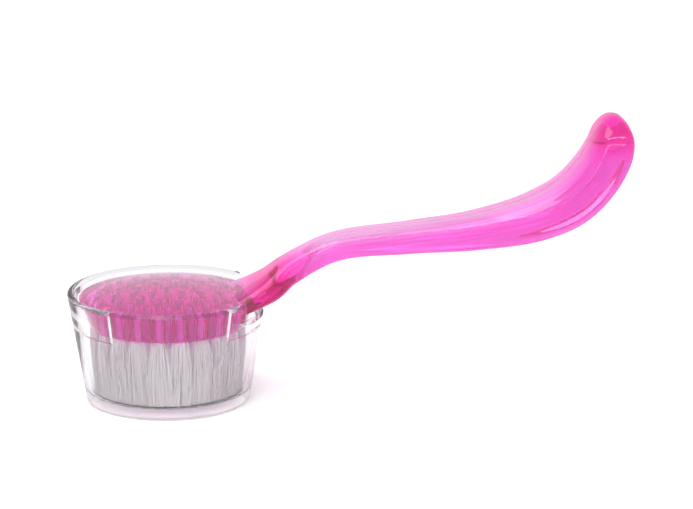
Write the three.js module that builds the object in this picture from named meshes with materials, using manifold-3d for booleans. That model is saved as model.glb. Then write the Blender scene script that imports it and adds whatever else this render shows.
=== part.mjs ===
// A long-handled soft brush, standing bristles down in its clear cap. Millimetres, +Z up.
//
// The origin is the middle of the cap's underside, on the surface that the cap stands on, and the
// handle points along +X. The object comes apart into a clear tapered cap with a gate for the
// handle, one tinted moulding that is the head and the handle together, and the tufts of bristle,
// each folded into its own blind hole in the head.
import * as THREE from 'three';
import { mergeVertices } from 'three/addons/utils/BufferGeometryUtils.js';
import Module from 'manifold-3d';

const wasm = await Module();
wasm.setup();

// ---- Driving dimensions ----

const cap = {
  height: 29,
  rimRadius: 26,
  baseRadius: 21.35,
  wall: 1.6,
  floor: 2.4,
  baseCorner: 0.6, // round under the wall
  floorCorner: 1.6, // round where the floor meets the wall inside
};

// The opening in the rim that the root of the handle drops into.
const gate = {
  halfWidth: 16.5,
  sill: 23, // height of its lower edge
  corner: 2.2,
};

// A thicker band inside the cap, under its rim, which the edge of the head seats in. Two windows in
// it, one on each side of the handle, leave the wall thin there.
const lining = {
  bottom: 19.8,
  top: 28,
  lead: 0.8, // height of the slope at its top, which guides the head in
  thickness: 0.8,
  windowHalfAngle: THREE.MathUtils.degToRad(40),
};

const head = {
  bottom: 20.4,
  shoulder: 27.5, // where the side wall ends and the dome starts
  bottomRadius: 20.8,
  shoulderRadius: 23,
  domeRise: 2.8,
  edgeRound: 0.5,
};

const tuft = {
  holeRadius: 1.2,
  holeDepth: 5.8,
  radius: 0.9, // where it leaves its hole
  tipRadius: 1.8,
  aboveFloor: 0.5, // air between the bristle tips and the floor of the cap
  gap: 0.3, // air at the end of the hole
};

// Concentric rings of tufts: how many there are, and on what radius.
const tuftRings = [
  { count: 4, radius: 3.6 },
  { count: 10, radius: 8.4 },
  { count: 16, radius: 13.2 },
  { count: 22, radius: 18 },
];

// The handle's axis from inside the head to its tip, with the width across and the height of the
// section there. It lies in the plane y = 0.
const handleStations = [
  { x: 15, z: 24.8, width: 25, height: 5 },
  { x: 26.7, z: 29.9, width: 17.5, height: 7.1 },
  { x: 31.4, z: 33.5, width: 12.3, height: 7.1 },
  { x: 43.7, z: 39.6, width: 11.6, height: 6.8 },
  { x: 63.2, z: 41.7, width: 12.6, height: 7.8 },
  { x: 80.9, z: 43.3, width: 15.4, height: 9.4 },
  { x: 97.1, z: 46.9, width: 18.4, height: 11.7 },
  { x: 107.4, z: 52.5, width: 19.6, height: 12.7 },
  { x: 115.5, z: 63.7, width: 19.2, height: 11.9 },
  { x: 116.7, z: 73.8, width: 16, height: 9.3 },
];

const handle = {
  topSquareness: 2.4, // superellipse powers: 2 is an ellipse, more is boxier
  bottomSquareness: 4,
  tipLength: 7, // the stretch over which the tip rounds off
};

// The channel along the handle's underside. It keeps the plastic over it about equally thick.
const channel = {
  start: 14, // along the axis, where it begins
  fadeIn: 18,
  end: 10, // before the tip, where it begins to run out
  fadeOut: 8,
  widthShare: 0.74,
  roof: 2.2, // thickness of plastic left over it
  squareness: 3.2,
};

const facets = { round: 64, hole: 10, tuft: 8, section: 28, sections: 32, tipSections: 7 };

const overshoot = 5; // how far a cutter stands past what it cuts

const colours = { pinkPlastic: 0xf03aa8, clearPlastic: 0xe9eced, bristle: 0xf2eef0 };

// ---- Solids from closed geometries ----

// A closed geometry as a manifold-3d solid: vertices welded, and triangles that welded away dropped.
function solid(geometry) {
  const bare = geometry.clone();
  bare.deleteAttribute('normal');
  bare.deleteAttribute('uv');
  const merged = mergeVertices(bare, 1e-4);
  const corners = merged.index.array;
  const kept = [];
  for (let i = 0; i < corners.length; i += 3) {
    const [a, b, c] = corners.slice(i, i + 3);
    if (a !== b && b !== c && c !== a) kept.push(a, b, c);
  }
  return new wasm.Manifold(
    new wasm.Mesh({
      numProp: 3,
      vertProperties: merged.attributes.position.array,
      triVerts: new Uint32Array(kept),
    }),
  );
}

function geometryOf(made) {
  const mesh = made.getMesh();
  const geometry = new THREE.BufferGeometry();
  geometry.setAttribute('position', new THREE.BufferAttribute(mesh.vertProperties, 3));
  geometry.setIndex(new THREE.BufferAttribute(mesh.triVerts, 1));
  geometry.computeVertexNormals();
  return geometry;
}

// Turns a profile of [radius, height] points about the Z axis. It runs anticlockwise in that
// half-plane, from the axis back to the axis, or closes on itself.
function turned(profile, segments = facets.round) {
  const points = profile.map(([radius, height]) => new THREE.Vector2(radius, height));
  return new THREE.LatheGeometry(points, segments).rotateX(Math.PI / 2);
}

// Points on a quarter round that starts at angle `from`, in radians, and turns by `sweep`.
function arc(centreX, centreY, radius, from, sweep, steps = 3) {
  const points = [];
  for (let i = 0; i <= steps; i += 1) {
    const angle = from + (sweep * i) / steps;
    points.push([centreX + radius * Math.cos(angle), centreY + radius * Math.sin(angle)]);
  }
  return points;
}

// ---- Cap ----

function capOuterRadius(height) {
  return THREE.MathUtils.mapLinear(height, 0, cap.height, cap.baseRadius, cap.rimRadius);
}

function capInnerRadius(height) {
  return capOuterRadius(height) - cap.wall;
}

function capShell() {
  const { height, wall, floor, baseCorner, floorCorner } = cap;
  const rimRound = wall / 2;
  return turned([
    [0, 0],
    ...arc(capOuterRadius(baseCorner) - baseCorner, baseCorner, baseCorner, -Math.PI / 2, Math.PI / 2),
    ...arc(capOuterRadius(height) - rimRound, height - rimRound, rimRound, 0, Math.PI, 4),
    ...arc(
      capInnerRadius(floor + floorCorner) - floorCorner,
      floor + floorCorner,
      floorCorner,
      0,
      -Math.PI / 2,
    ),
    [0, floor],
  ]);
}

// The lining goes all the way round, with its outer face buried halfway into the wall.
function liningRing() {
  const { bottom, top, lead, thickness } = lining;
  const face = (height) => capInnerRadius(height) - thickness;
  const buried = (height) => capInnerRadius(height) + cap.wall / 2;
  return turned([
    [face(bottom), bottom],
    [buried(bottom), bottom],
    [buried(top), top],
    [capInnerRadius(top), top],
    [face(top - lead), top - lead],
    [face(bottom), bottom],
  ]);
}

// A wedge with its point on the cap's axis, about the Y axis on the side that `side` gives, 1 or -1.
function windowCutter(side) {
  const reach = 2 * cap.rimRadius;
  const across = reach * Math.tan(lining.windowHalfAngle);
  const outline = new THREE.Shape();
  outline.moveTo(0, 0);
  outline.lineTo(side * across, side * reach);
  outline.lineTo(-side * across, side * reach);
  outline.closePath();
  return new THREE.ExtrudeGeometry(outline, { depth: cap.height + overshoot, bevelEnabled: false });
}

function gateCutter() {
  const { halfWidth, sill, corner } = gate;
  const above = cap.height + overshoot;
  const outline = new THREE.Shape();
  outline.moveTo(-halfWidth, above);
  outline.lineTo(-halfWidth, sill + corner);
  outline.absarc(-halfWidth + corner, sill + corner, corner, Math.PI, 1.5 * Math.PI);
  outline.absarc(halfWidth - corner, sill + corner, corner, 1.5 * Math.PI, 2 * Math.PI);
  outline.lineTo(halfWidth, above);
  outline.closePath();
  // The outline is drawn in Y and Z, and pushed along +X from the cap's axis.
  const depth = cap.rimRadius + overshoot;
  return new THREE.ExtrudeGeometry(outline, { depth, bevelEnabled: false, curveSegments: 5 })
    .rotateX(Math.PI / 2)
    .rotateZ(Math.PI / 2);
}

function capGeometry() {
  const windows = [1, -1].map((side) => solid(windowCutter(side)));
  const band = windows.reduce((made, each) => made.subtract(each), solid(liningRing()));
  return geometryOf(solid(capShell()).add(band).subtract(solid(gateCutter())));
}

// ---- Head and handle ----

// The dome is part of a sphere, and its rim is rounded a little at the shoulder.
function headDisc() {
  const { bottom, shoulder, bottomRadius, shoulderRadius, domeRise, edgeRound } = head;
  const sphere = (shoulderRadius ** 2 + domeRise ** 2) / (2 * domeRise);
  const centre = shoulder + domeRise - sphere;
  const edge = Math.asin((shoulderRadius - edgeRound) / sphere);
  const dome = arc(0, centre, sphere, Math.PI / 2 - edge, edge, 7);
  return turned([
    [0, bottom],
    [bottomRadius - edgeRound, bottom],
    [bottomRadius, bottom + edgeRound],
    [shoulderRadius, shoulder - edgeRound],
    ...dome.slice(0, -1),
    [0, shoulder + domeRise],
  ]);
}

const handleAxis = new THREE.CatmullRomCurve3(
  handleStations.map(({ x, z }) => new THREE.Vector3(x, 0, z)),
  false,
  'centripetal',
);
handleAxis.arcLengthDivisions = 400;
const handleSizes = new THREE.CatmullRomCurve3(
  handleStations.map(({ width, height }) => new THREE.Vector3(width, height, 0)),
  false,
  'catmullrom',
  0.5,
);

function signedPower(value, power) {
  return Math.sign(value) * Math.abs(value) ** power;
}

// How deep the channel is at a distance along the axis: 0 outside it, 1 along its middle.
function channelShare(distance, length) {
  const { smoothstep } = THREE.MathUtils;
  const runOut = length - channel.end;
  const begun = smoothstep(distance, channel.start, channel.start + channel.fadeIn);
  return begun * (1 - smoothstep(distance, runOut, runOut + channel.fadeOut));
}

// One closed section of the handle: domed on top, with the channel sunk into its flatter underside.
function handleSection(distance, length) {
  const along = handleAxis.getUtoTmapping(distance / length);
  const centre = handleAxis.getPoint(along);
  const tangent = handleAxis.getTangent(along);
  const up = new THREE.Vector3(-tangent.z, 0, tangent.x);
  const size = handleSizes.getPoint(along);
  const intoTip = Math.max(0, 1 - (length - distance) / handle.tipLength);
  const rounding = Math.sqrt(1 - intoTip ** 2);
  const halfWidth = (size.x / 2) * rounding;
  const halfHeight = (size.y / 2) * rounding;
  const channelHalf = halfWidth * channel.widthShare;
  const depth = Math.max(0, 2 * halfHeight - channel.roof) * channelShare(distance, length);
  const ring = [];
  for (let i = 0; i < facets.section; i += 1) {
    const angle = (2 * Math.PI * i) / facets.section;
    const upper = Math.sin(angle) > 0;
    const power = 2 / (upper ? handle.topSquareness : handle.bottomSquareness);
    const across = halfWidth * signedPower(Math.cos(angle), power);
    let rise = halfHeight * signedPower(Math.sin(angle), power);
    if (!upper) rise += depth * Math.max(0, 1 - Math.abs(across / channelHalf) ** channel.squareness);
    ring.push(centre.clone().addScaledVector(up, rise).add(new THREE.Vector3(0, across, 0)));
  }
  return ring;
}

// Joins rings of equal count into one closed skin, with a fan over the first and a point on the last.
function loft(rings, endPoint) {
  const count = rings[0].length;
  const middle = rings[0].reduce((sum, p) => sum.add(p), new THREE.Vector3()).divideScalar(count);
  const points = [middle, ...rings.flat(), endPoint];
  const index = [];
  const at = (ring, i) => 1 + ring * count + (i % count);
  for (let i = 0; i < count; i += 1) {
    index.push(0, at(0, i + 1), at(0, i));
    for (let r = 0; r < rings.length - 1; r += 1) {
      index.push(at(r, i), at(r + 1, i + 1), at(r + 1, i), at(r, i), at(r, i + 1), at(r + 1, i + 1));
    }
    index.push(at(rings.length - 1, i), at(rings.length - 1, i + 1), points.length - 1);
  }
  return new THREE.BufferGeometry().setFromPoints(points).setIndex(index);
}

function handleGeometry() {
  const length = handleAxis.getLength();
  const straight = length - handle.tipLength;
  const distances = [];
  for (let i = 0; i < facets.sections; i += 1) distances.push((straight * i) / facets.sections);
  for (let i = 0; i < facets.tipSections; i += 1) {
    distances.push(straight + handle.tipLength * Math.sin((Math.PI / 2) * (i / facets.tipSections)));
  }
  return loft(distances.map((distance) => handleSection(distance, length)), handleAxis.getPoint(1));
}

// ---- Tufts ----

// Where each tuft stands. Each ring has a tuft in line with the handle, so the layout is the same on
// both sides of it.
function tuftPlaces() {
  return tuftRings.flatMap(({ count, radius }) =>
    Array.from({ length: count }, (_, i) => {
      const angle = (2 * Math.PI * i) / count;
      return [radius * Math.cos(angle), radius * Math.sin(angle)];
    }),
  );
}

function tuftHole([x, y]) {
  const length = tuft.holeDepth + overshoot;
  return new THREE.CylinderGeometry(tuft.holeRadius, tuft.holeRadius, length, facets.hole)
    .rotateX(Math.PI / 2)
    .translate(x, y, head.bottom + tuft.holeDepth - length / 2);
}

// A tuft is straight in its hole, and opens out towards its cut tips.
function tuftGeometry([x, y]) {
  const tips = cap.floor + tuft.aboveFloor;
  const fold = head.bottom + tuft.holeDepth - tuft.gap;
  const profile = [
    [0, tips],
    [tuft.tipRadius, tips],
    [tuft.radius, head.bottom],
    [tuft.radius, fold],
    [0, fold],
  ];
  return turned(profile, facets.tuft).translate(x, y, 0);
}

function brushGeometry() {
  const body = solid(headDisc()).add(solid(handleGeometry()));
  const holes = tuftPlaces().map((place) => solid(tuftHole(place)));
  return geometryOf(holes.reduce((made, hole) => made.subtract(hole), body));
}

// ---- The assembly ----

function plastic(color, opacity = 1) {
  return new THREE.MeshStandardMaterial({
    color,
    roughness: 0.08,
    metalness: 0,
    transparent: opacity < 1,
    opacity,
  });
}

const materials = {
  pinkPlastic: plastic(colours.pinkPlastic, 0.7),
  clearPlastic: plastic(colours.clearPlastic, 0.3),
  bristle: new THREE.MeshStandardMaterial({ color: colours.bristle, roughness: 0.6, metalness: 0 }),
};

function part(name, geometry, material) {
  const mesh = new THREE.Mesh(geometry, material);
  mesh.name = name;
  return mesh;
}

const capGroup = new THREE.Group();
capGroup.add(part('cap', capGeometry(), materials.clearPlastic));

const brushGroup = new THREE.Group();
brushGroup.add(part('handle_and_head', brushGeometry(), materials.pinkPlastic));
tuftPlaces().forEach((place, i) => {
  const name = `tuft_${String(i + 1).padStart(2, '0')}`;
  brushGroup.add(part(name, tuftGeometry(place), materials.bristle));
});

const object = new THREE.Group();
object.add(capGroup, brushGroup);

export default object;
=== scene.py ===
"""A long-handled soft brush, standing bristles down in its clear cap, dressed round its CAD frame.

Metres, +Z up. The origin is the middle of the cap's underside, and the handle points along +X. Each
sub-assembly is a class that models its pieces, puts them on their CAD body and gives them a finish.
"""

from __future__ import annotations

import logging
import math
import random
from collections.abc import Callable, Iterator, Sequence
from contextlib import contextmanager
from dataclasses import dataclass, field
from enum import Enum
from itertools import pairwise

import bmesh
import bpy
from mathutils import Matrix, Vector


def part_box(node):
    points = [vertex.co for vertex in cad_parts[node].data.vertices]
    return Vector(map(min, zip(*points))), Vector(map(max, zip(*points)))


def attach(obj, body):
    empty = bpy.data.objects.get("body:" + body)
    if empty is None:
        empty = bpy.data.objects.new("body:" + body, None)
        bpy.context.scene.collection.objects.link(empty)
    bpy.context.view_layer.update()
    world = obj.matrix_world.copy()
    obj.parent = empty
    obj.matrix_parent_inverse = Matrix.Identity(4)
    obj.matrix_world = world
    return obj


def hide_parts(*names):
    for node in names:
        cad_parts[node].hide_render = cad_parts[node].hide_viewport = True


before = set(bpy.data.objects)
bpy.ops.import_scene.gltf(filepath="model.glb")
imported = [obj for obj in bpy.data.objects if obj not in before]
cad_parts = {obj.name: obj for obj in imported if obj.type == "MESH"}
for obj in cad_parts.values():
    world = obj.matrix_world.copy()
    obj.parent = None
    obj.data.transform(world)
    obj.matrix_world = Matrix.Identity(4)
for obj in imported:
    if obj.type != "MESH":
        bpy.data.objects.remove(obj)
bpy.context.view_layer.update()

LOG = logging.getLogger("brush")

Colour = tuple[float, float, float]
Point = tuple[float, float, float]
Span = tuple[float, float]

# The mesh attribute that holds each filament's own shade.
STRAND = "strand"
# Turn from one filament to the next in a sunflower layout.
GOLDEN_ANGLE = math.pi * (3 - math.sqrt(5))
# Chords that the handle's axis is measured by, and the share of it that gives its direction.
AXIS_STEPS = 400
AXIS_NUDGE = 1e-4
# Radius of the flat left at the top of the dome.
CROWN_RADIUS = 0.0006
# Noise values that the middle of a texture, and most of it, lie between.
NOISE_MIDDLE: Span = (0.35, 0.65)
NOISE_MOST: Span = (0.3, 0.7)
# Distances under which two vertices are one, and two coordinates are the same.
MERGE_DISTANCE = 1e-7
SAME_PLACE = 1e-6


class Body(Enum):
    """The CAD bodies that pieces ride on."""

    CAP = "cap"
    BRUSH = "brush"


class Slot(Enum):
    """The record's material slots."""

    CLEAR = "clear_plastic"
    PINK = "pink_plastic"
    BRISTLE = "bristle"
    WIRE = "anchor_wire"


class Cut(Enum):
    """What a second solid does to the first one."""

    JOIN = "UNION"
    REMOVE = "DIFFERENCE"


# ---- Modelling tools ----


def deselect_all() -> None:
    """Leaves nothing selected in object mode."""
    bpy.ops.object.select_all(action="DESELECT")


def focus(piece: bpy.types.Object) -> None:
    """Makes a piece the only selected and the active object."""
    deselect_all()
    piece.select_set(True)
    bpy.context.view_layer.objects.active = piece


@contextmanager
def editing(piece: bpy.types.Object, action: str = "DESELECT") -> Iterator[None]:
    """Holds a piece in edit mode.

    Args:
        piece: the mesh object to edit.
        action: what select_all does first.
    """
    focus(piece)
    bpy.ops.object.mode_set(mode="EDIT")
    bpy.ops.mesh.select_mode(type="VERT")
    bpy.ops.mesh.select_all(action=action)
    yield
    bpy.ops.object.mode_set(mode="OBJECT")


def pick_edges(piece: bpy.types.Object, test: Callable[[bmesh.types.BMEdge], bool]) -> None:
    """Selects the edges that pass a test, in edit mode.

    Args:
        piece: the mesh object being edited.
        test: says whether an edge is wanted.
    """
    bpy.ops.mesh.select_mode(type="EDGE")
    mesh = bmesh.from_edit_mesh(piece.data)
    for edge in mesh.edges:
        if test(edge):
            edge.select_set(True)
    mesh.select_flush_mode()
    bmesh.update_edit_mesh(piece.data)


def named(name: str) -> bpy.types.Object:
    """Names the object that an operator has just added, and puts its place into its mesh.

    Args:
        name: the object's new name.

    Returns:
        The object, at the origin, unturned and unscaled.
    """
    piece = bpy.context.object
    piece.name = piece.data.name = name
    focus(piece)
    bpy.ops.object.transform_apply(location=True, rotation=True, scale=True)
    return piece


def make_outward(piece: bpy.types.Object) -> None:
    """Merges doubles and points every face outwards."""
    with editing(piece, "SELECT"):
        bpy.ops.mesh.remove_doubles(threshold=MERGE_DISTANCE)
        bpy.ops.mesh.normals_make_consistent(inside=False)


def smooth(piece: bpy.types.Object, degrees: float = 32.0) -> None:
    """Shades a piece smooth, apart from edges sharper than an angle."""
    focus(piece)
    bpy.ops.object.shade_smooth_by_angle(angle=math.radians(degrees))


def combine(piece: bpy.types.Object, tool: bpy.types.Object, cut: Cut) -> None:
    """Joins a tool to a piece or cuts it out, and removes the tool.

    Args:
        piece: the solid that stays.
        tool: the solid that is used up.
        cut: whether the tool is joined or removed.
    """
    focus(piece)
    change = piece.modifiers.new(cut.name.title(), "BOOLEAN")
    change.operation = cut.value
    change.solver = "EXACT"
    change.object = tool
    bpy.ops.object.modifier_apply(modifier=change.name)
    bpy.data.objects.remove(tool, do_unlink=True)


def extrude_along(profile: Sequence[Span]) -> None:
    """Extrudes the selected ring from point to point of a profile, in edit mode.

    Args:
        profile: (radius, height) of each ring in turn, the first being the selected one.
    """
    for (radius, height), (next_radius, next_height) in pairwise(profile):
        step = {"value": (0, 0, next_height - height)}
        bpy.ops.mesh.extrude_region_move(TRANSFORM_OT_translate=step)
        growth = next_radius / radius
        bpy.ops.transform.resize(value=(growth, growth, 1), center_override=(0, 0, 0))


def turned(name: str, profile: Sequence[Span], segments: int) -> bpy.types.Object:
    """Turns a closed solid about the Z axis, by extruding a filled disc from point to point.

    Args:
        name: the object's name.
        profile: (radius, height) of each ring in turn, clear of the axis. Both ends are filled.
        segments: facets round the axis.

    Returns:
        The solid, faces out.
    """
    deselect_all()
    radius, height = profile[0]
    bpy.ops.mesh.primitive_circle_add(
        vertices=segments, radius=radius, fill_type="TRIFAN", location=(0, 0, height)
    )
    piece = named(name)
    with editing(piece, "SELECT"):
        extrude_along(profile)
    make_outward(piece)
    return piece


def turned_band(name: str, profile: Sequence[Span], segments: int) -> bpy.types.Object:
    """Turns a closed ring about the Z axis from a profile that closes on itself.

    Args:
        name: the object's name.
        profile: (radius, height) of each corner in turn.
        segments: facets round the axis.

    Returns:
        The ring, faces out.
    """
    deselect_all()
    radius, height = profile[0]
    bpy.ops.mesh.primitive_circle_add(vertices=segments, radius=radius, location=(0, 0, height))
    piece = named(name)
    with editing(piece, "SELECT"):
        extrude_along(profile)
        bpy.ops.mesh.select_all(action="DESELECT")
        pick_edges(piece, lambda edge: edge.is_boundary)
        bpy.ops.mesh.bridge_edge_loops()
    make_outward(piece)
    return piece


def arc(centre: Span, radius: float, start: float, sweep: float, steps: int) -> list[Span]:
    """Points on a round.

    Args:
        centre: the round's centre, as (radius from the axis, height).
        radius: the round's own radius.
        start: the angle of its first point, in radians.
        sweep: how far it turns, in radians.
        steps: chords along it.

    Returns:
        The points, as (radius from the axis, height).
    """
    angles = [start + sweep * i / steps for i in range(steps + 1)]
    return [(centre[0] + radius * math.cos(a), centre[1] + radius * math.sin(a)) for a in angles]


def copied(piece: bpy.types.Object, name: str) -> bpy.types.Object:
    """Copies a piece together with its mesh.

    Args:
        piece: the object to copy.
        name: the copy's name.

    Returns:
        The copy, linked into the scene.
    """
    copy = piece.copy()
    copy.data = piece.data.copy()
    copy.name = copy.data.name = name
    bpy.context.collection.objects.link(copy)
    return copy


def stood(pattern: bpy.types.Object, name: str, place: Vector, turn: float) -> bpy.types.Object:
    """Copies a pattern from the Z axis to a place, at the same height.

    Args:
        pattern: the object to copy.
        name: the copy's name.
        place: where the copy stands.
        turn: about Z, in radians.

    Returns:
        The copy, its place put into its mesh.
    """
    copy = copied(pattern, name)
    copy.rotation_euler = (0, 0, turn)
    copy.location = (place.x, place.y, 0)
    focus(copy)
    bpy.ops.object.transform_apply(location=True, rotation=True, scale=True)
    return copy


def joined(pieces: Sequence[bpy.types.Object]) -> bpy.types.Object:
    """Joins separate objects into the first of them."""
    focus(pieces[0])
    for piece in pieces:
        piece.select_set(True)
    bpy.ops.object.join()
    return bpy.context.object


def fit(
    piece: bpy.types.Object, body: Body, finish: bpy.types.Material, nodes: Sequence[str]
) -> None:
    """Puts a finished piece on its body, in place of its CAD nodes, with its finish.

    Args:
        piece: the finished object.
        body: the CAD body that it moves with.
        finish: its material.
        nodes: the CAD nodes that it stands for.
    """
    piece.data.materials.clear()
    piece.data.materials.append(finish)
    if nodes:
        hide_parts(*nodes)
    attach(piece, body.value)
    LOG.info("%s rides on %s, %d faces", piece.name, body.value, len(piece.data.polygons))


# ---- Node tools ----


class Graph:
    """A node tree, with short ways to add nodes and link them."""

    # Numbers of a Mix node's colour sockets, whose names it shares with its other kinds.
    FIRST = 6
    SECOND = 7
    MIXED = 2

    def __init__(self, tree: bpy.types.NodeTree) -> None:
        """Keeps the tree."""
        self.tree = tree

    def feed(self, node: bpy.types.Node, inputs: dict) -> None:
        """Sets or links inputs of a node.

        Args:
            node: the node.
            inputs: a plain value, or an output socket to link, for each input by name or number.
        """
        for key, value in inputs.items():
            if isinstance(value, bpy.types.NodeSocket):
                self.tree.links.new(value, node.inputs[key])
            else:
                node.inputs[key].default_value = value

    def add(self, kind: str, inputs: dict | None = None, **settings: object) -> bpy.types.Node:
        """Adds a node.

        Args:
            kind: the node's type.
            inputs: what feed is given.
            settings: the node's own properties, set first.

        Returns:
            The new node.
        """
        node = self.tree.nodes.new(kind)
        for key, value in settings.items():
            setattr(node, key, value)
        self.feed(node, inputs or {})
        return node

    def math(self, operation: str, first: object, second: object) -> bpy.types.NodeSocket:
        """Adds a Math node and gives its result."""
        return self.add("ShaderNodeMath", {0: first, 1: second}, operation=operation).outputs[0]

    def scaled(self, vector: object, scale: Point) -> bpy.types.NodeSocket:
        """Stretches coordinates by a plain scale, and gives the result."""
        node = self.add("ShaderNodeMapping", {"Vector": vector, "Scale": scale})
        return node.outputs["Vector"]

    def noise(self, vector: object, scale: float, detail: float = 3.0) -> bpy.types.NodeSocket:
        """Adds a Noise texture and gives its value, near 0 to 1."""
        inputs = {"Vector": vector, "Scale": scale, "Detail": detail}
        return self.add("ShaderNodeTexNoise", inputs).outputs["Fac"]

    def ranged(self, value: object, low: float, high: float, start: float, end: float) -> object:
        """Maps a value, with a clamp.

        Args:
            value: the socket that gives it.
            low: the value that gives start.
            high: the value that gives end.
            start: the result at low and below.
            end: the result at high and above.

        Returns:
            The socket that gives the result.
        """
        inputs = {"Value": value, "From Min": low, "From Max": high, "To Min": start, "To Max": end}
        return self.add("ShaderNodeMapRange", inputs).outputs["Result"]

    def blend(self, share: object, first: object, second: object) -> bpy.types.NodeSocket:
        """Mixes two colours.

        Args:
            share: the second colour's share, a socket.
            first: a colour, or a socket that gives one.
            second: the same.

        Returns:
            The socket that gives the result.
        """
        node = self.add("ShaderNodeMix", {"Factor": share}, data_type="RGBA")
        for slot, colour in ((self.FIRST, first), (self.SECOND, second)):
            linked = isinstance(colour, bpy.types.NodeSocket)
            self.feed(node, {slot: colour if linked else (*colour, 1)})
        return node.outputs[self.MIXED]


def new_material(name: str) -> tuple[bpy.types.Material, Graph, bpy.types.Node, bpy.types.Node]:
    """Starts a material.

    Args:
        name: the material's name.

    Returns:
        The material, its graph, its Principled shader and its output.
    """
    material = bpy.data.materials.new(name)
    material.use_nodes = True
    material.node_tree.nodes.clear()
    graph = Graph(material.node_tree)
    shader = graph.add("ShaderNodeBsdfPrincipled")
    output = graph.add("ShaderNodeOutputMaterial", {"Surface": shader.outputs["BSDF"]})
    return material, graph, shader, output


@dataclass(frozen=True)
class SkinMarks:
    """The marks that both plastics share: faint smudges, hair scratches and slow waves.

    Args:
        smudge_scale: how fine the smudges are.
        smudge_band: noise values between which a smudge fades in.
        hair_scale: how fine the scratches are.
        hair_stretches: how the two sets of scratches are drawn out, along the handle and slantwise.
        hair_band: noise values between which a scratch fades in.
        wave_scale: how close the waves are.
        wave_stretch: how the waves are drawn out, along the handle.
    """

    smudge_scale: float = 160
    smudge_band: Span = (0.42, 0.75)
    hair_scale: float = 60
    hair_stretches: tuple[Point, Point] = ((0.6, 14, 14), (9, 2, 16))
    hair_band: Span = (0.66, 0.69)
    wave_scale: float = 95
    wave_stretch: Point = (0.35, 1, 1)

    def sockets(self) -> bpy.types.NodeTree:
        """Starts the group with its sockets. The surface's own values replace these defaults."""
        tree = bpy.data.node_groups.new("Moulded surface", "ShaderNodeTree")
        tree.interface.new_socket("Vector", in_out="INPUT", socket_type="NodeSocketVector")
        for name, value in (("Roughness", 0.05), ("Smudge", 0.05), ("Scratch", 0.1), ("Wave", 1.0)):
            socket = tree.interface.new_socket(name, in_out="INPUT", socket_type="NodeSocketFloat")
            socket.default_value = value
        for name in ("Roughness", "Height"):
            tree.interface.new_socket(name, in_out="OUTPUT", socket_type="NodeSocketFloat")
        return tree

    def make(self) -> bpy.types.NodeTree:
        """Builds the node group.

        Returns:
            The group, with Roughness and Height outputs.
        """
        tree = self.sockets()
        graph = Graph(tree)
        given = graph.add("NodeGroupInput").outputs
        place = given["Vector"]
        smudge = graph.ranged(graph.noise(place, self.smudge_scale, 5), *self.smudge_band, 0, 1)
        lines = []
        for stretch in self.hair_stretches:
            hair = graph.noise(graph.scaled(place, stretch), self.hair_scale, 2)
            lines.append(graph.ranged(hair, *self.hair_band, 0, 1))
        scratch = graph.math("MULTIPLY", graph.math("MAXIMUM", *lines), given["Scratch"])
        wave = graph.noise(graph.scaled(place, self.wave_stretch), self.wave_scale, 1.5)
        rough = graph.math("ADD", given["Roughness"], graph.math("MULTIPLY", smudge, given["Smudge"]))
        rough = graph.math("ADD", rough, scratch)
        height = graph.math("SUBTRACT", graph.math("MULTIPLY", wave, given["Wave"]), scratch)
        graph.add("NodeGroupOutput", {"Roughness": rough, "Height": height})
        return tree


# ---- Finishes ----


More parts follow.
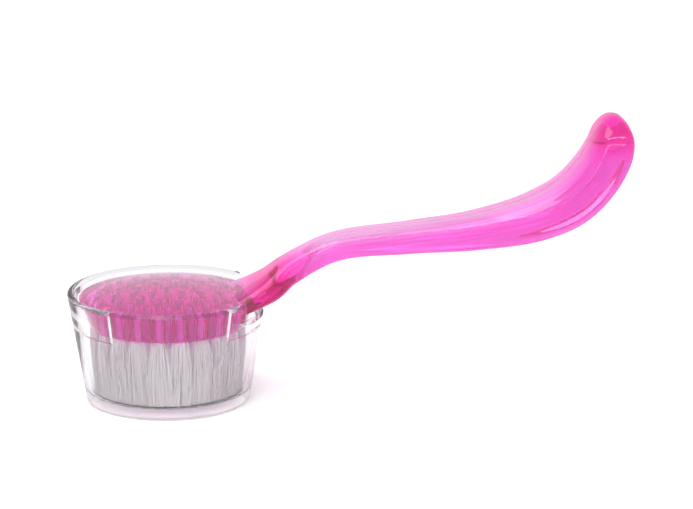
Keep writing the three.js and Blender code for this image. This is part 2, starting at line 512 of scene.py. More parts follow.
@dataclass(frozen=True)
class TintedPlastic:
    """Clear moulded plastic, tinted in its depth and at its skin, where a painted pale reflection and a
    painted deeper shade are laid on.

    Args:
        name: the material's name.
        tint: the colour that the plastic tends to where it is deep.
        density: how fast it gets there, per metre.
        surface: the colour that the skin lets through.
        pale_sheen: the painted pale reflection, the colour laid on level faces above a height.
        sheen_from: height above which the painted reflection is laid on.
        deep_shade: painted shade, the deeper colour laid on by the head and above a height.
        shade_root_until: X where the painted shade by the head has ended.
        shade_tip_from: height above which the painted shade is laid on.
        shade_tip_fade: height over which it fades in.
        ior: index of refraction.
        roughness: of the clean skin.
        smudge: roughness that finger marks add.
        scratch: depth of the hair scratches, as a share of the bump.
        wave: height of the slow waves that moulding leaves, as a share of the bump.
        bump: the bump's full height.
        clearness: the share of light that isn't scattered at the skin.
        gloss: strength of its reflections, 0.5 being plain plastic's.
        shine: share of a polished skin over it.
        shine_roughness: of that skin.
        sheen_fade: height over which the painted reflection fades in.
        level: upright parts of the normal between which a face starts to count as level.
        cloud_scale: how fine the uneven patches of the painted reflection are.
        cloud_low: what they leave of that colour at least.
        shade_root_start: X between which the painted shade by the head fades in.
        painted_root_fade: length over which it fades out.
    """

    name: str
    tint: Colour
    density: float
    surface: Colour
    # Painted light in the skin colour: a pale reflection on level faces, and a deeper shade by the head
    # and above a height.
    pale_sheen: Colour
    sheen_from: float
    deep_shade: Colour
    shade_root_until: float
    shade_tip_from: float
    shade_tip_fade: float
    ior: float
    roughness: float
    smudge: float
    scratch: float
    wave: float
    bump: float
    clearness: float
    gloss: float
    shine: float
    shine_roughness: float = 0.04
    sheen_fade: float = 0.008
    level: Span = (0.3, 0.9)
    cloud_scale: float = 70
    cloud_low: float = 0.9
    shade_root_start: Span = (0.019, 0.024)
    painted_root_fade: float = 0.009

    def colour(self, graph: Graph, place: object, normal: object) -> bpy.types.NodeSocket:
        """Adds the skin's colour with painted light: a painted pale reflection on level faces high up,
        and painted shade, a deeper tint, where the handle leaves the head and above a set height.

        Args:
            graph: the material's graph.
            place: the socket of the place.
            normal: the socket of the normal.

        Returns:
            The socket that gives the colour.
        """
        upward = graph.add("ShaderNodeSeparateXYZ", {"Vector": normal}).outputs["Z"]
        # Painted reflection: level faces above a height are paled, in uneven patches.
        level = graph.ranged(graph.math("ABSOLUTE", upward, 0.0), *self.level, 0, 1)
        position = graph.add("ShaderNodeSeparateXYZ", {"Vector": place})
        along, height = position.outputs["X"], position.outputs["Z"]
        raised = graph.ranged(height, self.sheen_from, self.sheen_from + self.sheen_fade, 0, 1)
        cloud = graph.ranged(graph.noise(place, self.cloud_scale, 3), *NOISE_MIDDLE, self.cloud_low, 1)
        pale_sheen = graph.math("MULTIPLY", graph.math("MULTIPLY", level, raised), cloud)
        # Painted shade: a deeper tint by the head and above a height.
        painted_root = graph.ranged(along, self.shade_root_until - self.painted_root_fade, self.shade_root_until, 1, 0)
        painted_root = graph.math("MULTIPLY", painted_root, graph.ranged(along, *self.shade_root_start, 0, 1))
        tip = graph.ranged(height, self.shade_tip_from, self.shade_tip_from + self.shade_tip_fade, 0, 1)
        colour = graph.blend(pale_sheen, self.surface, self.pale_sheen)
        return graph.blend(graph.math("MAXIMUM", painted_root, tip), colour, self.deep_shade)

    def make(self, skin: bpy.types.NodeTree) -> bpy.types.Material:
        """Builds the material.

        Args:
            skin: the shared group of surface marks.

        Returns:
            The material.
        """
        material, graph, shader, output = new_material(self.name)
        coordinates = graph.add("ShaderNodeTexCoord")
        place = coordinates.outputs["Object"]
        own = {key: getattr(self, key.lower()) for key in ("Roughness", "Smudge", "Scratch", "Wave")}
        marks = graph.add("ShaderNodeGroup", {"Vector": place, **own}, node_tree=skin).outputs
        bump = {"Height": marks["Height"], "Distance": self.bump, "Strength": 1.0}
        depth = {"Color": (*self.tint, 1), "Density": self.density}
        surface = {
            "Base Color": self.colour(graph, place, coordinates.outputs["Normal"]),
            "Roughness": marks["Roughness"],
            "Normal": graph.add("ShaderNodeBump", bump).outputs["Normal"],
            "IOR": self.ior,
            "Specular IOR Level": self.gloss,
            "Coat Weight": self.shine,
            "Coat Roughness": self.shine_roughness,
            "Transmission Weight": self.clearness,
        }
        graph.feed(shader, surface)
        absorb = graph.add("ShaderNodeVolumeAbsorption", depth).outputs["Volume"]
        graph.feed(output, {"Volume": absorb})
        return material


@dataclass(frozen=True)
class BristleFilament:
    """Soft synthetic filament, each one a little lighter or darker than the next, with painted light
    that whitens it inside the head's holes.
    """

    light: Colour = (0.86, 0.815, 0.84)
    dark: Colour = (0.79, 0.735, 0.765)
    # Painted light: the filament is whitened inside the holes, though it is no paler there.
    painted_root: Colour = (0.98, 0.95, 0.97)
    lit_root_from: float = 0.0198
    painted_root_fade: float = 0.001
    own_share: float = 0.6
    streak_stretch: Point = (1, 1, 0.06)
    streak_scale: float = 1500
    patch_scale: float = 900
    roughness: Span = (0.34, 0.52)
    gloss: float = 0.5

    def make(self) -> bpy.types.Material:
        """Builds the material.

        Returns:
            The material, which reads each filament's own shade from the mesh.
        """
        material, graph, shader, _ = new_material("Bristle filament")
        strand = graph.add("ShaderNodeAttribute", attribute_name=STRAND).outputs["Fac"]
        place = graph.add("ShaderNodeTexCoord").outputs["Object"]
        streak = graph.noise(graph.scaled(place, self.streak_stretch), self.streak_scale, 2)
        own = graph.math("MULTIPLY", strand, self.own_share)
        share = graph.math("ADD", own, graph.math("MULTIPLY", streak, 1 - self.own_share))
        height = graph.add("ShaderNodeSeparateXYZ", {"Vector": place}).outputs["Z"]
        # Painted light: above this height, inside the holes, the filament takes the whitened colour.
        held = graph.ranged(height, self.lit_root_from, self.lit_root_from + self.painted_root_fade, 0, 1)
        colour = graph.blend(held, graph.blend(share, self.light, self.dark), self.painted_root)
        rough = graph.ranged(graph.noise(place, self.patch_scale, 2), *NOISE_MOST, *self.roughness)
        surface = {"Base Color": colour, "Roughness": rough, "Specular IOR Level": self.gloss}
        graph.feed(shader, surface)
        return material


@dataclass(frozen=True)
class AnchorMetal:
    """Flat drawn wire, with lines along its length and dull patches."""

    bright: Colour = (0.95, 0.93, 0.94)
    dull: Colour = (0.80, 0.78, 0.79)
    patch_scale: float = 800
    line_stretch: Point = (1, 1, 14)
    line_scale: float = 900
    line_depth: float = 1e-5
    roughness: Span = (0.22, 0.5)

    def make(self) -> bpy.types.Material:
        """Builds the material.

        Returns:
            The material.
        """
        material, graph, shader, _ = new_material("Anchor wire")
        place = graph.add("ShaderNodeTexCoord").outputs["Object"]
        patch = graph.ranged(graph.noise(place, self.patch_scale, 3), *NOISE_MIDDLE, 0, 1)
        lines = graph.noise(graph.scaled(place, self.line_stretch), self.line_scale, 2)
        bump = graph.add("ShaderNodeBump", {"Height": lines, "Distance": self.line_depth})
        surface = {
            "Base Color": graph.blend(patch, self.bright, self.dull),
            "Roughness": graph.ranged(lines, *NOISE_MOST, *self.roughness),
            "Normal": bump.outputs["Normal"],
            "Metallic": 1.0,
        }
        graph.feed(shader, surface)
        return material


@dataclass(frozen=True)
class FloorPaint:
    """Matt white board, with the faintest unevenness. It looks a little whiter than it lights."""

    light: Colour = (0.97, 0.97, 0.97)
    dark: Colour = (0.96, 0.96, 0.96)
    light_cast: Colour = (0.80, 0.80, 0.80)
    dark_cast: Colour = (0.79, 0.79, 0.79)
    lift: float = 0.12
    cloud_scale: float = 6
    roughness: Span = (0.75, 0.85)
    gloss: float = 0.2

    def make(self) -> bpy.types.Material:
        """Builds the material.

        Returns:
            The material.
        """
        material, graph, shader, _ = new_material("Floor board")
        place = graph.add("ShaderNodeTexCoord").outputs["Object"]
        cloud = graph.noise(place, self.cloud_scale, 4)
        direct = graph.add("ShaderNodeLightPath").outputs["Is Camera Ray"]
        cast = graph.blend(cloud, self.light_cast, self.dark_cast)
        surface = {
            "Base Color": graph.blend(direct, cast, graph.blend(cloud, self.light, self.dark)),
            "Roughness": graph.ranged(cloud, *NOISE_MOST, *self.roughness),
            "Specular IOR Level": self.gloss,
            "Emission Color": (1, 1, 1, 1),
            "Emission Strength": graph.math("MULTIPLY", direct, self.lift),
        }
        graph.feed(shader, surface)
        return material


PINK_PLASTIC = TintedPlastic(
    name="Pink tinted plastic",
    tint=(0.965, 0.03, 0.79),
    density=140.0,
    surface=(1.0, 0.37, 0.87),
    # Painted reflection: level faces high on the handle are whitened.
    pale_sheen=(1.0, 1.0, 1.0),
    sheen_from=0.031,
    # Painted shade: a deeper pink where the handle leaves the head and at its upper end.
    deep_shade=(1.0, 0.05, 0.52),
    shade_root_until=0.037,
    shade_tip_from=0.062,
    shade_tip_fade=0.008,
    ior=1.38,
    roughness=0.03,
    smudge=0.05,
    scratch=0.04,
    wave=1.0,
    bump=7e-5,
    clearness=0.94,
    gloss=0.5,
    shine=0.3,
)

CLEAR_PLASTIC = TintedPlastic(
    name="Clear plastic",
    tint=(0.93, 0.878, 0.912),
    density=60.0,
    surface=(0.985, 0.99, 0.99),
    pale_sheen=(0.985, 0.99, 0.99),
    sheen_from=0.0,
    # Painted shade: the top of the rim is greyed.
    deep_shade=(0.76, 0.75, 0.77),
    shade_root_until=0.0,
    shade_tip_from=0.0272,
    shade_tip_fade=0.0012,
    ior=1.2,
    roughness=0.02,
    smudge=0.04,
    scratch=0.06,
    wave=0.5,
    bump=2e-5,
    clearness=0.985,
    gloss=0.45,
    shine=0.0,
)


# ---- Cap ----


@dataclass
class Cap:
    """The clear tapered cap, with a gate for the handle and a seating band inside its rim."""

    height: float = 0.029
    rim_radius: float = 0.026
    base_radius: float = 0.02135
    wall: float = 0.0016
    floor: float = 0.0024
    base_corner: float = 0.0006
    floor_corner: float = 0.0016
    gate_half_width: float = 0.0165
    gate_sill: float = 0.023
    gate_corner: float = 0.0022
    band_bottom: float = 0.0198
    band_top: float = 0.028
    band_lead: float = 0.0008
    band_thickness: float = 0.0008
    window_half_angle: float = math.radians(40)
    segments: int = 192
    base_steps: int = 5
    rim_steps: int = 10
    floor_steps: int = 6
    gate_steps: int = 10

    def outer(self, height: float) -> float:
        """Radius of the outside at a height."""
        return self.base_radius + (self.rim_radius - self.base_radius) * height / self.height

    def inner(self, height: float) -> float:
        """Radius of the inside at a height."""
        return self.outer(height) - self.wall

    def shell(self) -> bpy.types.Object:
        """Turns the plain cup, from under the floor, up the wall, over the rim and down to the floor.

        Returns:
            The cup.
        """
        rim = self.wall / 2
        under = (self.outer(self.base_corner) - self.base_corner, self.base_corner)
        inside_height = self.floor + self.floor_corner
        inside = (self.inner(inside_height) - self.floor_corner, inside_height)
        profile = [
            *arc(under, self.base_corner, -math.pi / 2, math.pi / 2, self.base_steps),
            *arc((self.outer(self.height) - rim, self.height - rim), rim, 0, math.pi, self.rim_steps),
            *arc(inside, self.floor_corner, 0, -math.pi / 2, self.floor_steps),
        ]
        return turned("clear_cap", profile, self.segments)

    def band(self) -> bpy.types.Object:
        """Turns the seating band and cuts its two windows.

        Returns:
            The band, its outer face buried in the wall.
        """
        buried = self.wall / 2
        profile = [
            (self.inner(self.band_bottom) - self.band_thickness, self.band_bottom),
            (self.inner(self.band_bottom) + buried, self.band_bottom),
            (self.inner(self.band_top) + buried, self.band_top),
            (self.inner(self.band_top), self.band_top),
            (
                self.inner(self.band_top - self.band_lead) - self.band_thickness,
                self.band_top - self.band_lead,
            ),
        ]
        band = turned_band("band", profile, self.segments)
        for side in (1, -1):
            combine(band, self.window(side), Cut.REMOVE)
        return band

    def window(self, side: int) -> bpy.types.Object:
        """Makes the wedge that cuts one window.

        Args:
            side: 1 for the window towards +Y, -1 for the other.

        Returns:
            A prism with one edge on the cap's axis.
        """
        reach = 2 * self.rim_radius
        bpy.ops.mesh.primitive_cylinder_add(
            vertices=3, radius=reach, depth=self.height, location=(0, 0, self.height)
        )
        wedge = named("window")
        across = reach * math.tan(self.window_half_angle)
        with editing(wedge):
            mesh = bmesh.from_edit_mesh(wedge.data)
            for vert in mesh.verts:
                turn = round(math.atan2(vert.co.x, vert.co.y) / (2 * math.pi / 3))
                vert.co.x, vert.co.y = (across * turn, side * reach) if turn else (0, 0)
            bmesh.update_edit_mesh(wedge.data)
        make_outward(wedge)
        return wedge

    def gate(self) -> bpy.types.Object:
        """Makes the block that cuts the gate.

        Returns:
            The block, with its two lower edges rounded.
        """
        top = 2 * self.height
        bpy.ops.mesh.primitive_cube_add(
            size=1,
            location=(self.rim_radius, 0, (self.gate_sill + top) / 2),
            scale=(2 * self.rim_radius, 2 * self.gate_half_width, top - self.gate_sill),
        )
        block = named("gate")
        sill = self.gate_sill

        def is_lower_side(edge: bmesh.types.BMEdge) -> bool:
            """Says whether an edge runs along X at the sill."""
            first, second = (vert.co for vert in edge.verts)
            low = max(first.z, second.z) < sill + SAME_PLACE
            return low and abs(first.y - second.y) < SAME_PLACE

        with editing(block):
            pick_edges(block, is_lower_side)
            bpy.ops.mesh.bevel(offset=self.gate_corner, segments=self.gate_steps, affect="EDGES")
        return block

    def build(self, finish: bpy.types.Material) -> None:
        """Models the cap and fits it.

        Args:
            finish: its material.
        """
        cap = self.shell()
        combine(cap, self.band(), Cut.JOIN)
        combine(cap, self.gate(), Cut.REMOVE)
        make_outward(cap)
        smooth(cap)
        fit(cap, Body.CAP, finish, ["cap"])


# ---- Head and handle ----


@dataclass(frozen=True)
class Station:
    """A place on the handle's axis, with the width and height of the section there."""

    x: float
    z: float
    width: float
    height: float


def cubic(values: Sequence[float], slopes: tuple[float, float], weight: float) -> float:
    """A Hermite cubic.

    Args:
        values: the value at each end.
        slopes: the slope at each end.
        weight: 0 at the first end, 1 at the second.

    Returns:
        The value between them.
    """
    (start, end), (out, into) = values, slopes
    square = -3 * start + 3 * end - 2 * out - into
    cube = 2 * start - 2 * end + out + into
    return start + out * weight + square * weight**2 + cube * weight**3


class Spline:
    """A curve through points: centripetal, or uniform with a tension of a half."""

    def __init__(self, points: Sequence[Span], centripetal: bool) -> None:
        """Keeps the points, with one more beyond each end in line with the last two.

        Args:
            points: that the curve passes through.
            centripetal: whether it is centripetal.
        """
        first = tuple(2 * a - b for a, b in zip(points[0], points[1]))
        last = tuple(2 * a - b for a, b in zip(points[-1], points[-2]))
        self.points = [first, *points, last]
        self.spans = len(points) - 1
        self.centripetal = centripetal

    def at(self, share: float) -> tuple[float, ...]:
        """Gives a point on the curve.

        Args:
            share: of the way along, counted in spans.

        Returns:
            The point.
        """
        along = share * self.spans
        span = min(int(along), self.spans - 1)
        near = self.points[span : span + 4]
        gaps = [1.0, 1.0, 1.0]
        if self.centripetal:
            gaps = [math.sqrt(math.dist(a, b)) for a, b in pairwise(near)]
        return tuple(self._value(axis, gaps, along - span) for axis in zip(*near))

    @staticmethod
    def _value(axis: tuple[float, ...], gaps: list[float], weight: float) -> float:
        """Interpolates one coordinate between the two middle points of four.

        Args:
            axis: the four points' coordinate.
            gaps: the three spans' lengths.
            weight: 0 at the second point, 1 at the third.

        Returns:
            The coordinate.
        """
        before, start, end, after = axis
        first, middle, third = gaps
        out = (start - before) / first - (end - before) / (first + middle) + (end - start) / middle
        into = (end - start) / middle - (after - start) / (middle + third) + (after - end) / third
        return cubic((start, end), (out * middle, into * middle), weight)


def smoothstep(value: float, low: float, high: float) -> float:
    """Eases from 0 at low to 1 at high."""
    share = min(1.0, max(0.0, (value - low) / (high - low)))
    return share * share * (3 - 2 * share)


def signed_power(value: float, power: float) -> float:
    """Raises a number's size to a power and keeps its sign."""
    return math.copysign(abs(value) ** power, value)


@dataclass
class Moulding:
    """The tinted moulding: a domed head full of tuft holes, and the long handle, hollow underneath."""

    bottom: float = 0.0204
    shoulder: float = 0.0275
    bottom_radius: float = 0.0208
    shoulder_radius: float = 0.023
    dome_rise: float = 0.0028
    edge_round: float = 0.0005
    hole_radius: float = 0.0012
    hole_depth: float = 0.0058
    tip_length: float = 0.007
    top_squareness: float = 3.0
    bottom_squareness: float = 4.0
    channel_start: float = 0.014
    channel_fade_in: float = 0.018
    channel_end: float = 0.010
    channel_fade_out: float = 0.008
    channel_width_share: float = 0.74
    channel_roof: float = 0.0022
    channel_squareness: float = 3.2
    ripple: float = 0.03
    ripples: int = 11
    ripple_fade: float = 0.02
    ripple_drifts: tuple[Span, ...] = ((1.4, 45.0), (0.8, 110.0))
    edge_steps: int = 4
    dome_steps: int = 22
    hole_ease: float = 0.00024
    hole_steps: int = 3
    hole_segments: int = 28
    head_segments: int = 144
    section_segments: int = 108
    rings: int = 120
    tip_rings: int = 16
    stations: tuple[Station, ...] = (
        Station(0.0150, 0.0248, 0.0250, 0.0050),
        Station(0.0267, 0.0299, 0.0175, 0.0071),
        Station(0.0314, 0.0335, 0.0123, 0.0071),
        Station(0.0437, 0.0396, 0.0116, 0.0068),
        Station(0.0632, 0.0417, 0.0126, 0.0078),
        Station(0.0809, 0.0433, 0.0154, 0.0094),
        Station(0.0971, 0.0469, 0.0184, 0.0117),
        Station(0.1074, 0.0525, 0.0196, 0.0127),
        Station(0.1155, 0.0637, 0.0192, 0.0119),
        Station(0.1167, 0.0738, 0.0160, 0.0093),
    )
    axis: Spline = field(init=False)
    sizes: Spline = field(init=False)
    reached: list[float] = field(init=False)

    def __post_init__(self) -> None:
        """Prepares the axis, its lengths and the curve of section sizes."""
        self.axis = Spline([(s.x, s.z) for s in self.stations], centripetal=True)
        self.sizes = Spline([(s.width, s.height) for s in self.stations], centripetal=False)
        points = [self.axis.at(i / AXIS_STEPS) for i in range(AXIS_STEPS + 1)]
        self.reached = [0.0]
        for start, end in pairwise(points):
            self.reached.append(self.reached[-1] + math.dist(start, end))

    @property
    def length(self) -> float:
        """The axis's length."""
        return self.reached[-1]

    def share_at(self, distance: float) -> float:
        """Turns a distance along the axis into a share of its spans.

        Args:
            distance: along the axis.

        Returns:
            The share.
        """
        step = next((i for i, r in enumerate(self.reached) if r >= distance), AXIS_STEPS)
        if step == 0:
            return 0.0
        low, high = self.reached[step - 1], self.reached[step]
        return min(1.0, (step - 1 + (distance - low) / (high - low)) / AXIS_STEPS)

    def channel_share(self, distance: float) -> float:
        """How deep the channel underneath is: 0 outside it, 1 along its middle."""
        begun = smoothstep(distance, self.channel_start, self.channel_start + self.channel_fade_in)
        run_out = self.length - self.channel_end
        return begun * (1 - smoothstep(distance, run_out, run_out + self.channel_fade_out))

    def rippled(self, distance: float, angle: float) -> float:
        """Draws the skin in along the faint flow lines of the handle's flanks.

        Args:
            distance: along the axis.
            angle: round the section, in radians.

        Returns:
            The section's size there, as a share of its plain size.
        """
        shown = smoothstep(distance, self.ripple_fade, 2 * self.ripple_fade)
        shown *= smoothstep(self.length - distance, 0, self.ripple_fade) * math.cos(angle) ** 2
        drift = sum(size * math.sin(rate * distance) for size, rate in self.ripple_drifts)
        return 1 - self.ripple * shown * (0.5 + 0.5 * math.sin(self.ripples * angle + drift))

    def skin_point(self, distance: float, angle: float) -> Point:
        """A point on the handle's skin.

        Args:
            distance: along the axis.
            angle: round the section, in radians, 0 at the near side and a quarter turn at the top.

        Returns:
            The point.
        """
        share = self.share_at(distance)
        x, z = self.axis.at(share)
        before = self.axis.at(max(0, share - AXIS_NUDGE))
        after = self.axis.at(min(1, share + AXIS_NUDGE))
        run = math.dist(before, after)
        tangent = ((after[0] - before[0]) / run, (after[1] - before[1]) / run)
        width, height = self.sizes.at(share)
        into_tip = max(0.0, 1 - (self.length - distance) / self.tip_length)
        rounding = math.sqrt(max(0.0, 1 - into_tip**2))
        rounding *= self.rippled(distance, angle)
        half_width, half_height = width / 2 * rounding, height / 2 * rounding
        upper = math.sin(angle) > 0
        power = 2 / (self.top_squareness if upper else self.bottom_squareness)
        across = half_width * signed_power(math.cos(angle), power)
        rise = half_height * signed_power(math.sin(angle), power)
        if not upper and half_width > 0:
            depth = max(0.0, 2 * half_height - self.channel_roof) * self.channel_share(distance)
            off_centre = abs(across / (half_width * self.channel_width_share))
            rise += depth * max(0.0, 1 - off_centre**self.channel_squareness)
        return (x - tangent[1] * rise, across, z + tangent[0] * rise)

    def handle(self) -> bpy.types.Object:
        """Extrudes a straight round blank ring by ring, then bends and presses it to shape.

        Returns:
            The handle.
        """
        straight = self.length - self.tip_length
        distances = [straight * i / self.rings for i in range(self.rings)]
        quarter = math.pi / 2 / self.tip_rings
        distances += [straight + self.tip_length * math.sin(quarter * i) for i in range(self.tip_rings)]
        radius = 1.0
        blank = turned("handle", [(radius, distance) for distance in distances], self.section_segments)
        with editing(blank):
            mesh = bmesh.from_edit_mesh(blank.data)
            for vert in mesh.verts:
                x, y, distance = vert.co
                if math.hypot(x, y) < radius / 2:
                    at = 0.0 if distance < straight / 2 else 1.0
                    axis_x, axis_z = self.axis.at(at)
                    vert.co = (axis_x, 0, axis_z)
                else:
                    vert.co = self.skin_point(distance, math.atan2(y, x))
            bmesh.update_edit_mesh(blank.data)
        make_outward(blank)
        return blank

    def head(self) -> bpy.types.Object:
        """Turns the domed disc, rounded at both edges.

        Returns:
            The head, without its holes.
        """
        edge = self.edge_round
        sphere = (self.shoulder_radius**2 + self.dome_rise**2) / (2 * self.dome_rise)
        centre = self.shoulder + self.dome_rise - sphere
        lean = math.atan2(self.shoulder_radius - self.bottom_radius, self.shoulder - self.bottom)
        top = math.acos((self.shoulder_radius - edge) / sphere)
        crown = math.acos(CROWN_RADIUS / sphere)
        low = (self.bottom_radius - edge, self.bottom + edge)
        high = (self.shoulder_radius - edge, self.shoulder - edge)
        profile = [
            *arc(low, edge, -math.pi / 2, math.pi / 2 - lean, self.edge_steps),
            *arc(high, edge, -lean, top + lean, self.edge_steps),
            *arc((0, centre), sphere, top, crown - top, self.dome_steps),
        ]
        return turned("head", profile, self.head_segments)

    def hole_tool(self, places: Sequence[Vector]) -> bpy.types.Object:
        """Makes the pins that form the tuft holes.

        Args:
            places: the middle of each hole.

        Returns:
            All the pins as one object.
        """
        ease = self.hole_ease
        eased = self.bottom + self.hole_depth - ease
        profile = [
            (self.hole_radius, self.bottom - self.hole_depth),
            *arc((self.hole_radius - ease, eased), ease, 0, math.pi / 2, self.hole_steps),
        ]
        pin = turned("pin", profile, self.hole_segments)
        pins = [copied(pin, "pin") for _ in places]
        bpy.data.objects.remove(pin, do_unlink=True)
        for each, place in zip(pins, places):
            each.location = (place.x, place.y, 0)
        tool = joined(pins)
        bpy.ops.object.transform_apply(location=True, rotation=True, scale=True)
        return tool

    def build(self, finish: bpy.types.Material, places: Sequence[Vector]) -> None:
        """Models the moulding and fits it.

        Args:
            finish: its material.
            places: the middle of each tuft hole.
        """
        moulding = self.head()
        moulding.name = moulding.data.name = "pink_moulding"
        combine(moulding, self.handle(), Cut.JOIN)
        combine(moulding, self.hole_tool(places), Cut.REMOVE)
        make_outward(moulding)
        smooth(moulding)
        fit(moulding, Body.BRUSH, finish, ["handle_and_head"])


# ---- Tufts and their anchors ----


@dataclass
class Tufts:
    """The tufts of soft filament, each set into its own hole."""

    root_radius: float = 0.00082
    tip_radius: float = 0.0043
    thickness: float = 0.00015
    filaments: int = 220
    sides: int = 4
    bends: tuple[float, ...] = (1.0, 0.6, 0.3, 0.13, 0.05, 0.015, 0.0)
    uneven: float = 0.0009
    flare: float = 0.27
    stray: float = 0.0009
    splay: float = 0.0004
    tip_reach: float = 0.0194
    reach_slope: float = 0.16
    crowding: float = 0.002

    def filament(self, low: float, high: float, mouth: float) -> bpy.types.Object:
        """Extrudes one straight filament, with rings where it will bend.

        Args:
            low: height of its cut tip.
            high: height of its fold.
            mouth: height at which it leaves its hole.

        Returns:
            The filament, on the Z axis.
        """
        heights = [mouth - (mouth - low) * bend for bend in self.bends] + [high]
        return turned("filament", [(self.thickness / 2, height) for height in heights], self.sides)

    def tuft(self, low: float, high: float, mouth: float, dice: random.Random) -> bpy.types.Object:
        """Models one tuft: filaments in a sunflower layout that open out below the head.

        Args:
            low: height of the longest tips.
            high: height of the fold.
            mouth: height at which the tuft leaves its hole.
            dice: the source of all chance.

        Returns:
            The tuft, on the Z axis.
        """
        pattern = self.filament(low, high, mouth)
        strands = []
        for i in range(self.filaments):
            strand = copied(pattern, "filament")
            ring = math.sqrt((i + 0.5) / self.filaments)
            angle = i * GOLDEN_ANGLE
            short = dice.random() ** 2 * self.uneven
            lean = (dice.uniform(-1, 1) * self.stray, dice.uniform(-1, 1) * self.stray)
            shade = strand.data.attributes.new(STRAND, "FLOAT", "POINT")
            value = dice.random()
            for vert, slot in zip(strand.data.vertices, shade.data):
                slot.value = value
                fall = max(0.0, (mouth - vert.co.z) / (mouth - low))
                radius = self.root_radius + (self.tip_radius - self.root_radius) * fall**self.flare
                vert.co.x += ring * radius * math.cos(angle) + lean[0] * fall
                vert.co.y += ring * radius * math.sin(angle) + lean[1] * fall
                vert.co.z = low + short + (vert.co.z - low) * (high - low - short) / (high - low)
            strands.append(strand)
        bpy.data.objects.remove(pattern, do_unlink=True)
        tuft = joined(strands)
        tuft.name = tuft.data.name = "tuft_pattern"
        smooth(tuft, degrees=60)
        return tuft

    def held_in(self, place: Vector, low: float) -> Vector:
        """Crowds a point inwards where the cap's wall would stop it.

        Args:
            place: the point.
            low: height of the tips.

        Returns:
            The point, inside the wall.
        """
        reach = self.tip_reach + (place.z - low) * self.reach_slope
        free = reach - self.crowding
        out = math.hypot(place.x, place.y)
        if out <= free:
            return place
        held = reach - self.crowding * math.exp((free - out) / self.crowding)
        return Vector((place.x * held / out, place.y * held / out, place.z))

    def planted(
        self, pattern: bpy.types.Object, node: str, mouth: float, dice: random.Random
    ) -> bpy.types.Object:
        """Copies the tuft into one hole, lets its tips drift and keeps them inside the wall.

        Args:
            pattern: the tuft on the Z axis.
            node: the CAD tuft that the copy stands for.
            mouth: the height of the head's underside.
            dice: the source of all chance.

        Returns:
            The copy.
        """
        place, low = middle(node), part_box(node)[0][2]
        tuft = stood(pattern, f"bristle_{node}", place, dice.uniform(0, 2 * math.pi))
        drift = Vector((dice.uniform(-1, 1), dice.uniform(-1, 1), 0)) * self.splay
        for vert in tuft.data.vertices:
            fall = max(0.0, (mouth - vert.co.z) / (mouth - low))
            vert.co = self.held_in(vert.co + drift * fall**2, low)
        return tuft

    def build(self, finish: bpy.types.Material, nodes: Sequence[str], mouth: float) -> None:
        """Models the tufts and fits each in place of its CAD node.

        Args:
            finish: their material.
            nodes: the CAD tufts.
            mouth: the height of the head's underside.
        """
        dice = random.Random(52)
        low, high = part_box(nodes[0])
        pattern = self.tuft(low[2], high[2], mouth, dice)
        for node in nodes:
            tuft = self.planted(pattern, node, mouth, dice)
            fit(tuft, Body.BRUSH, finish, [node])
        bpy.data.objects.remove(pattern, do_unlink=True)


@dataclass
class Anchors:
    """The flat wires that hold each tuft's fold at the end of its hole."""

    length: float = 0.0021
    depth: float = 0.0018
    thickness: float = 0.0003
    below_fold: float = 0.0024
    bends: tuple[float, ...] = (-0.3, 0, 0.3)
    slack: float = 0.3

    def staple(self, height: float) -> bpy.types.Object:
        """Models one flat wire with eased edges, its ends bent down a little.

        Args:
            height: of its middle.

        Returns:
            The wire, across the Z axis.
        """
        bpy.ops.mesh.primitive_cube_add(
            size=1, location=(0, 0, height), scale=(self.length, self.thickness, self.depth)
        )
        wire = named("anchor_pattern")
        with editing(wire, "SELECT"):
            bpy.ops.mesh.bevel(offset=self.thickness / 4, segments=2, affect="EDGES")
            for place in self.bends:
                bpy.ops.mesh.select_all(action="SELECT")
                bpy.ops.mesh.bisect(plane_co=(place * self.length, 0, 0), plane_no=(1, 0, 0))
            mesh = bmesh.from_edit_mesh(wire.data)
            for vert in mesh.verts:
                vert.co.z -= self.depth * (vert.co.x / self.length) ** 2
            bmesh.update_edit_mesh(wire.data)
        make_outward(wire)
        smooth(wire, degrees=40)
        return wire

    def build(self, finish: bpy.types.Material, nodes: Sequence[str]) -> None:
        """Models the wires and puts one in each tuft.

        Args:
            finish: their material.
            nodes: the CAD tufts.
        """
        dice = random.Random(7)
        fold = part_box(nodes[0])[1][2]
        pattern = self.staple(fold - self.below_fold + self.depth / 2)
        for number, node in enumerate(nodes, start=1):
            place = middle(node)
            turn = math.atan2(place.y, place.x) + dice.uniform(-self.slack, self.slack)
            wire = stood(pattern, f"anchor_wire_{number:02d}", place, turn)
            fit(wire, Body.BRUSH, finish, [])
        bpy.data.objects.remove(pattern, do_unlink=True)


def middle(node: str) -> Vector:
    """The middle of a CAD node's box."""
    low, high = (Vector(corner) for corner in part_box(node))
    return (low + high) / 2


# ---- Studio ----


@dataclass(frozen=True)
class SoftBox:
    """A large area light.

    Args:
        name: the light's name.
        place: where it stands.
        size: its width and height.
        power: in watts.
        tint: its colour.
    """

    name: str
    place: Point
    size: tuple[float, float]
    power: float
    tint: Colour = (1.0, 1.0, 1.0)

    def add(self, target: Vector) -> None:
        """Adds the light.

        Args:
            target: what it is turned towards.
        """
        deselect_all()
        turn = (target - Vector(self.place)).to_track_quat("-Z", "Y").to_euler()
        bpy.ops.object.light_add(type="AREA", location=self.place, rotation=turn)
        lamp = bpy.context.object
        lamp.name = lamp.data.name = self.name
        lamp.data.shape = "RECTANGLE"
        lamp.data.size, lamp.data.size_y = self.size
        lamp.data.energy = self.power
        lamp.data.color = self.tint


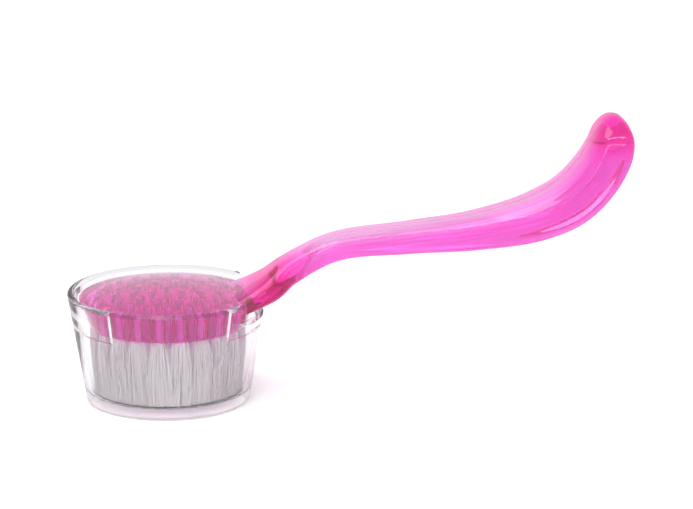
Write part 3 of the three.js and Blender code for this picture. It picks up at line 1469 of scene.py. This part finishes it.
@dataclass
class Studio:
    """The floor, the soft lights, the pale surroundings and the camera."""

    aim: Point = (0.04662, -0.00408, 0.0384)
    camera: Point = (-0.0208, -0.7744, 0.2433)
    lens: float = 159.9
    sensor: float = 36.0
    floor_size: float = 12.0
    floor_cuts: int = 4
    floor_drop: float = 0.0002
    horizon: Colour = (1.0, 1.0, 1.0)
    overhead: Colour = (1.12, 1.12, 1.14)
    sky_fade: Span = (0.15, 0.8)
    strength: float = 0.86
    clear_bounces: int = 32
    diffuse_bounces: int = 20
    glossy_bounces: int = 16
    boxes: tuple[SoftBox, ...] = (
        SoftBox("key", (-0.25, -0.25, 0.9), (0.8, 0.6), 5.0),
        SoftBox("high_strip", (0.1, -0.5, 0.6), (0.6, 0.05), 1.0),
        SoftBox("low_strip", (0.05, -0.95, 0.32), (1.0, 0.05), 1.5),
    )

    def lay_floor(self, finish: bpy.types.Material) -> None:
        """Lays the floor under the cap.

        Args:
            finish: its material.
        """
        deselect_all()
        bpy.ops.mesh.primitive_plane_add(size=self.floor_size, location=(0, 0, -self.floor_drop))
        floor = named("floor")
        with editing(floor, "SELECT"):
            bpy.ops.mesh.subdivide(number_cuts=self.floor_cuts)
        floor.data.materials.append(finish)

    def set_world(self) -> None:
        """Lights everything softly, white from the sides and a little brighter from overhead."""
        world = bpy.data.worlds.new("Studio")
        bpy.context.scene.world = world
        world.use_nodes = True
        world.node_tree.nodes.clear()
        graph = Graph(world.node_tree)
        direction = graph.add("ShaderNodeTexCoord").outputs["Generated"]
        height = graph.add("ShaderNodeSeparateXYZ", {"Vector": direction}).outputs["Z"]
        share = graph.ranged(height, *self.sky_fade, 0, 1)
        colour = graph.blend(share, self.horizon, self.overhead)
        shade = graph.add("ShaderNodeBackground", {"Color": colour, "Strength": self.strength})
        graph.add("ShaderNodeOutputWorld", {"Surface": shade.outputs["Background"]})

    def set_camera(self) -> None:
        """Adds the camera and makes it the scene's own."""
        deselect_all()
        turn = (Vector(self.aim) - Vector(self.camera)).to_track_quat("-Z", "Y").to_euler()
        bpy.ops.object.camera_add(location=self.camera, rotation=turn)
        eye = bpy.context.object
        eye.name = eye.data.name = "camera"
        eye.data.lens = self.lens
        eye.data.sensor_width = self.sensor
        eye.data.clip_end = 2 * self.floor_size
        bpy.context.scene.camera = eye

    def build(self, floor: bpy.types.Material) -> None:
        """Sets the stage and the paths that light may take through clear plastic.

        Args:
            floor: the floor's material.
        """
        self.lay_floor(floor)
        self.set_world()
        for box in self.boxes:
            box.add(Vector(self.aim))
        self.set_camera()
        scene = bpy.context.scene
        scene.view_settings.view_transform = "Standard"
        scene.cycles.max_bounces = self.clear_bounces
        scene.cycles.transmission_bounces = self.clear_bounces
        scene.cycles.glossy_bounces = self.glossy_bounces
        scene.cycles.diffuse_bounces = self.diffuse_bounces


def main() -> None:
    """Builds the stage and the object."""
    logging.basicConfig(level=logging.INFO, format="%(name)s: %(message)s")
    skin = SkinMarks().make()
    tufts = sorted(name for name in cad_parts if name.startswith("tuft_"))
    moulding = Moulding()
    Studio().build(FloorPaint().make())
    Cap().build(CLEAR_PLASTIC.make(skin))
    moulding.build(PINK_PLASTIC.make(skin), [middle(node) for node in tufts])
    Tufts().build(BristleFilament().make(), tufts, moulding.bottom)
    Anchors().build(AnchorMetal().make(), tufts)


if __name__ == "__main__":
    main()
